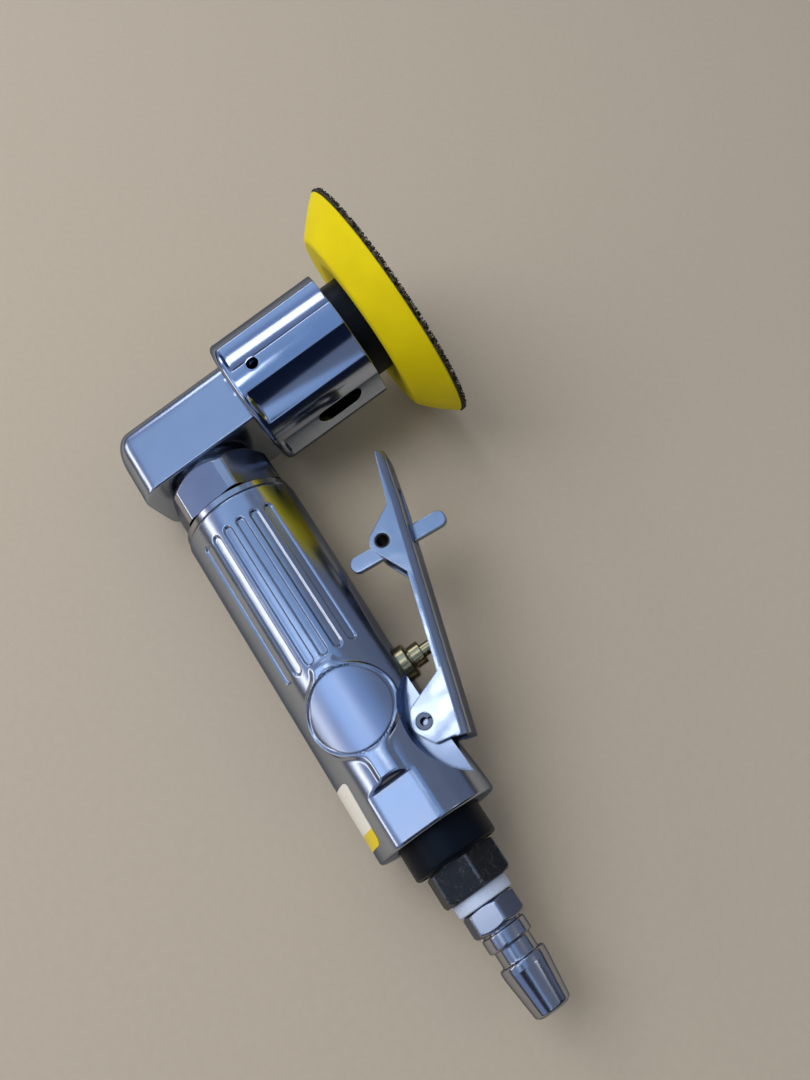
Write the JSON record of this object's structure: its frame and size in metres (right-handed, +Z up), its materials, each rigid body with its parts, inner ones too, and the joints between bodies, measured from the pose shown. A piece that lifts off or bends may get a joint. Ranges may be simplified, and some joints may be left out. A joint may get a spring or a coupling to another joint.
{
  "type": "mini air polisher",
  "caption": "Lever-operated angle air polisher with a foam pad, fluted spindle shroud, folding lock latch, turning exhaust sleeve and a coupler plug for the air line.",
  "frame": {"origin": "middle of the tool's footprint, on the floor that it lies on", "axes": "+X along the handle from head to tail, +Z up from the floor; the tool lies on the rim of its pad and on its handle, so the spindle axis is in the YZ plane, raised from +Y by the lying angle"},
  "size_m": [0.21, 0.098, 0.0715],
  "materials": {
    "polished_aluminium": "polished",
    "nickel_plate": "polished",
    "sheet_steel": "polished",
    "machined_steel": "satin",
    "bearing_steel": "polished",
    "spring_steel": "satin",
    "black_oxide": "satin",
    "black_plastic": "satin",
    "vane_resin": "matte",
    "brass": "polished",
    "seal_rubber": "matte",
    "gasket_paper": "matte",
    "yellow_foam": "matte",
    "hook_fabric": "matte",
    "muffler_felt": "matte"
  },
  "bodies": {
    "casing": {"angle_head": "polished_aluminium", "head_shroud": "polished_aluminium", "handle": "polished_aluminium", "clamp_nut": "nickel_plate", "front_ring": "nickel_plate", "coupler_plug": "nickel_plate", "lever_pin": "sheet_steel", "spindle_spacer": "machined_steel", "pinion_spacer": "machined_steel", "motor_cylinder": "machined_steel", "front_end_plate": "machined_steel", "rear_end_plate": "machined_steel", "cylinder_pin": "machined_steel", "inlet_screen": "machined_steel", "spindle_needle_bush": "bearing_steel", "spindle_bearing_inner": "bearing_steel", "spindle_bearing_outer": "bearing_steel", "pinion_bearing_front": "bearing_steel", "pinion_bearing_rear": "bearing_steel", "rotor_bearing_front": "bearing_steel", "rotor_bearing_rear": "bearing_steel", "spindle_circlip": "spring_steel", "pinion_circlip": "spring_steel", "valve_spring": "spring_steel", "inlet_bushing": "black_oxide", "valve_bush": "brass", "stem_o_ring": "seal_rubber", "bushing_o_ring": "seal_rubber", "motor_gasket": "gasket_paper", "exhaust_muffler": "muffler_felt"},
    "pad_spindle": {"spindle": "machined_steel", "bevel_gear": "machined_steel", "pad_collar": "black_plastic", "pad_plate": "machined_steel", "pad_stud": "machined_steel", "foam_pad": "yellow_foam", "hook_face": "hook_fabric"},
    "motor_rotor": {"rotor": "machined_steel", "rotor_vanes": "vane_resin", "bevel_pinion": "machined_steel"},
    "throttle_lever": {"lever": "sheet_steel", "latch_pin": "sheet_steel", "latch_spring": "spring_steel"},
    "latch": {"lock_latch": "sheet_steel"},
    "valve": {"valve_stem": "brass", "valve_seal": "seal_rubber"},
    "sleeve": {"exhaust_sleeve": "black_plastic"}
  },
  "joints": [
    {"name": "spindle_spin", "type": "hinge", "parent": "casing", "child": "pad_spindle", "pos_m": [-0.06805, -0.02875, 0.0164], "axis": [0, 0.9604, 0.2785], "continuous": true},
    {"name": "rotor_spin", "type": "hinge", "parent": "casing", "child": "motor_rotor", "pos_m": [-0.06805, -0.02875, 0.0164], "axis": [1, 0, 0], "continuous": true},
    {"name": "lever_press", "type": "hinge", "parent": "casing", "child": "throttle_lever", "pos_m": [0.03685, -0.01704, 0.0198], "axis": [0, -0.2785, 0.9604], "range_deg": [0, 5], "stiffness_Nm_per_rad": 1.5, "springref_deg": -5.73},
    {"name": "valve_slide", "type": "slide", "parent": "casing", "child": "valve", "axis": [0, -0.9604, -0.2785], "range_m": [0, 0.0019]},
    {"name": "latch_fold", "type": "hinge", "parent": "throttle_lever", "child": "latch", "pos_m": [-0.00745, -0.001, 0.02445], "axis": [0, -0.2785, 0.9604], "range_deg": [0, 44.5]},
    {"name": "exhaust_turn", "type": "hinge", "parent": "casing", "child": "sleeve", "pos_m": [0.05895, -0.02875, 0.0164], "axis": [1, 0, 0], "continuous": true}
  ],
  "couplings": [
    {"joint": "rotor_spin", "follows": "spindle_spin", "ratio": -1.7},
    {"joint": "valve_slide", "follows": "lever_press", "m_per_rad": 0.020669},
    {"joint": "latch_fold", "follows": "lever_press", "ratio": 8.8}
  ]
}
